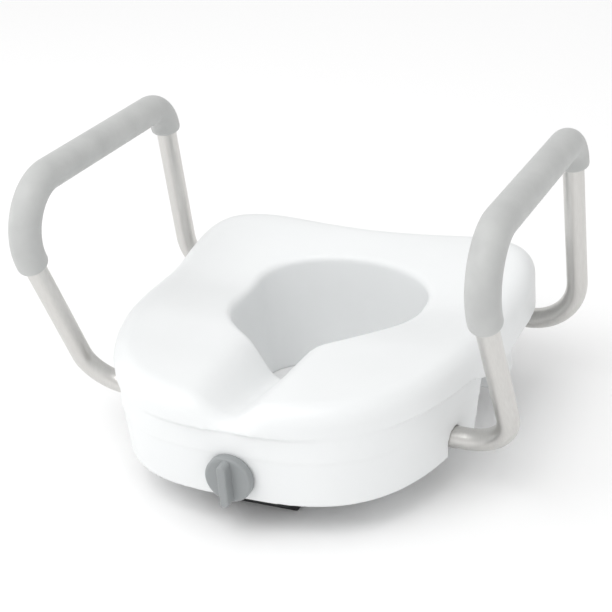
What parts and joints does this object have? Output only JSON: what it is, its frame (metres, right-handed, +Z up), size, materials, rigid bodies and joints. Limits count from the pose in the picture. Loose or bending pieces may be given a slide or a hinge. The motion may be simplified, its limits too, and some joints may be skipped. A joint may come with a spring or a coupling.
{
  "type": "raised toilet seat with arms",
  "caption": "Raised toilet seat with a moulded contoured body, two padded tube arm loops and a front knob that clamps a jaw inside the bowl rim.",
  "frame": {"origin": "centre of the bounding box in plan, at the height where the splash wall, the clamp jaw and the rear stops end", "axes": "+X across the seat to the right-hand arm as seen from the front, -Y towards the front knob, +Z up"},
  "size_m": [0.569, 0.4812, 0.3614],
  "materials": {
    "seat_white": "satin moulded polyethylene",
    "tube_aluminium": "satin anodised",
    "grip_foam": "matte closed-cell foam",
    "knob_grey": "satin",
    "strap_grey": "satin",
    "jaw_black": "satin glass-filled nylon",
    "bush_black": "satin",
    "pad_rubber": "matte",
    "fastener_steel": "zinc plated",
    "channel_steel": "zinc plated sheet",
    "nut_brass": "machined"
  },
  "bodies": {
    "seat": {"seat_body": "seat_white", "strap_screws": "fastener_steel", "guide_channel": "channel_steel", "guide_screws": "fastener_steel", "stop_screws": "fastener_steel", "knob_bush": "bush_black", "end_bush": "bush_black", "rim_pads": "pad_rubber", "front_strap_right": "strap_grey", "front_strap_left": "strap_grey", "rear_strap_right": "strap_grey", "rear_strap_left": "strap_grey", "rear_stop_right": "jaw_black", "rear_stop_left": "jaw_black", "stop_pad_right": "pad_rubber", "stop_pad_left": "pad_rubber"},
    "right_arm": {"arm_tube_right": "tube_aluminium", "arm_grip_right": "grip_foam", "tube_plugs_right": "bush_black"},
    "left_arm": {"arm_tube_left": "tube_aluminium", "arm_grip_left": "grip_foam", "tube_plugs_left": "bush_black"},
    "knob": {"lock_knob": "knob_grey", "knob_pin": "fastener_steel", "lock_screw": "fastener_steel", "screw_collar": "fastener_steel", "collar_pin": "fastener_steel", "end_clip": "fastener_steel"},
    "jaw": {"clamp_jaw": "jaw_black", "clamp_nut": "nut_brass", "jaw_pad": "pad_rubber"}
  },
  "joints": [
    {"name": "knob_turn", "type": "hinge", "parent": "seat", "child": "knob", "pos_m": [0, -0.218, 0.071], "axis": [0, 1, 0], "range_deg": [-1801, 451]},
    {"name": "jaw_slide", "type": "slide", "parent": "seat", "child": "jaw", "axis": [0, -1, 0], "range_m": [-0.04, 0.01]},
    {"name": "right_arm_width", "type": "slide", "parent": "seat", "child": "right_arm", "axis": [1, 0, 0], "range_m": [0, 0.025]},
    {"name": "left_arm_width", "type": "slide", "parent": "seat", "child": "left_arm", "axis": [-1, 0, 0], "range_m": [0, 0.025]}
  ],
  "couplings": [
    {"joint": "knob_turn", "follows": "jaw_slide", "rad_per_m": 785.4}
  ]
}
